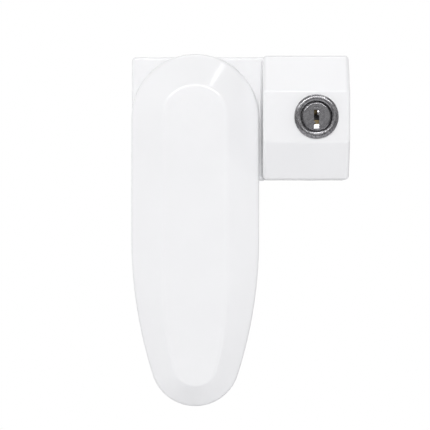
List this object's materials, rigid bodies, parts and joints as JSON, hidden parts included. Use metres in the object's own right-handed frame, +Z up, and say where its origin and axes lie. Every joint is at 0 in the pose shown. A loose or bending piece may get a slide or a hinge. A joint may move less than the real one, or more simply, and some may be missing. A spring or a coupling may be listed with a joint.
{
  "type": "keyed swing latch",
  "caption": "White surface-mounted swing latch: a long paddle-shaped arm on a low case, beside a bevelled lock box with a round key cylinder.",
  "frame": {"origin": "centre of the case's back face, where it lies on the sash, level with the pivot and the key cylinder", "axes": "+X to the viewer's right, +Y into the sash, +Z up; the latch stands out from the sash towards -Y"},
  "size_m": [0.097, 0.0403, 0.157],
  "materials": {
    "case_white": "satin",
    "arm_white": "satin",
    "zinc_steel": "satin",
    "housing_nickel": "satin",
    "plug_nickel": "satin",
    "brass": "satin",
    "bronze": "satin",
    "spring_steel": "gloss",
    "black_steel": "satin",
    "acetal": "matte",
    "rubber": "matte"
  },
  "bodies": {
    "case": {"lock_case": "case_white", "mounting_plate": "zinc_steel", "case_screw_1": "zinc_steel", "case_screw_2": "zinc_steel", "pivot_bush": "bronze", "stop_pin": "spring_steel", "cylinder_housing": "housing_nickel", "cylinder_nut": "zinc_steel", "slide_guide": "zinc_steel", "guide_screw_1": "zinc_steel", "guide_screw_2": "zinc_steel", "guide_screw_3": "zinc_steel", "guide_screw_4": "zinc_steel"},
    "arm": {"arm_cover": "arm_white", "arm_plate": "zinc_steel", "arm_screw_1": "zinc_steel", "arm_screw_2": "zinc_steel", "arm_screw_3": "zinc_steel", "buffer_pad": "rubber", "spindle": "zinc_steel", "thrust_washer": "acetal", "locking_disc": "zinc_steel", "spring_washer": "spring_steel", "spindle_nut": "zinc_steel"},
    "plug": {"plug": "plug_nickel", "cam": "zinc_steel", "cam_screw": "zinc_steel", "wafer_spring_1": "spring_steel", "wafer_spring_2": "spring_steel", "wafer_spring_3": "spring_steel", "wafer_spring_4": "spring_steel", "wafer_spring_5": "spring_steel"},
    "bolt": {"locking_slide": "black_steel"},
    "wafer_1": {"wafer_1": "brass"},
    "wafer_2": {"wafer_2": "brass"},
    "wafer_3": {"wafer_3": "brass"},
    "wafer_4": {"wafer_4": "brass"},
    "wafer_5": {"wafer_5": "brass"}
  },
  "joints": [
    {"name": "arm_swing", "type": "hinge", "parent": "case", "child": "arm", "pos_m": [-0.0199, 0, 0], "axis": [0, 1, 0], "range_deg": [0, 90]},
    {"name": "plug_turn", "type": "hinge", "parent": "case", "child": "plug", "pos_m": [0.0335, 0, 0], "axis": [0, 1, 0], "range_deg": [0, 90]},
    {"name": "bolt_slide", "type": "slide", "parent": "case", "child": "bolt", "axis": [-1, 0, 0], "range_m": [0, 0.006]},
    {"name": "wafer_1_slide", "type": "slide", "parent": "plug", "child": "wafer_1", "axis": [0, 0, 1], "range_m": [-0.0007, 0], "stiffness_N_per_m": 150, "deforming": ["wafer_spring_1"]},
    {"name": "wafer_2_slide", "type": "slide", "parent": "plug", "child": "wafer_2", "axis": [0, 0, 1], "range_m": [-0.0007, 0], "stiffness_N_per_m": 150, "deforming": ["wafer_spring_2"]},
    {"name": "wafer_3_slide", "type": "slide", "parent": "plug", "child": "wafer_3", "axis": [0, 0, 1], "range_m": [-0.0007, 0], "stiffness_N_per_m": 150, "deforming": ["wafer_spring_3"]},
    {"name": "wafer_4_slide", "type": "slide", "parent": "plug", "child": "wafer_4", "axis": [0, 0, 1], "range_m": [-0.0007, 0], "stiffness_N_per_m": 150, "deforming": ["wafer_spring_4"]},
    {"name": "wafer_5_slide", "type": "slide", "parent": "plug", "child": "wafer_5", "axis": [0, 0, 1], "range_m": [-0.0007, 0], "stiffness_N_per_m": 150, "deforming": ["wafer_spring_5"]}
  ],
  "couplings": [
    {"joint": "plug_turn", "follows": "bolt_slide", "rad_per_m": 261.79}
  ]
}
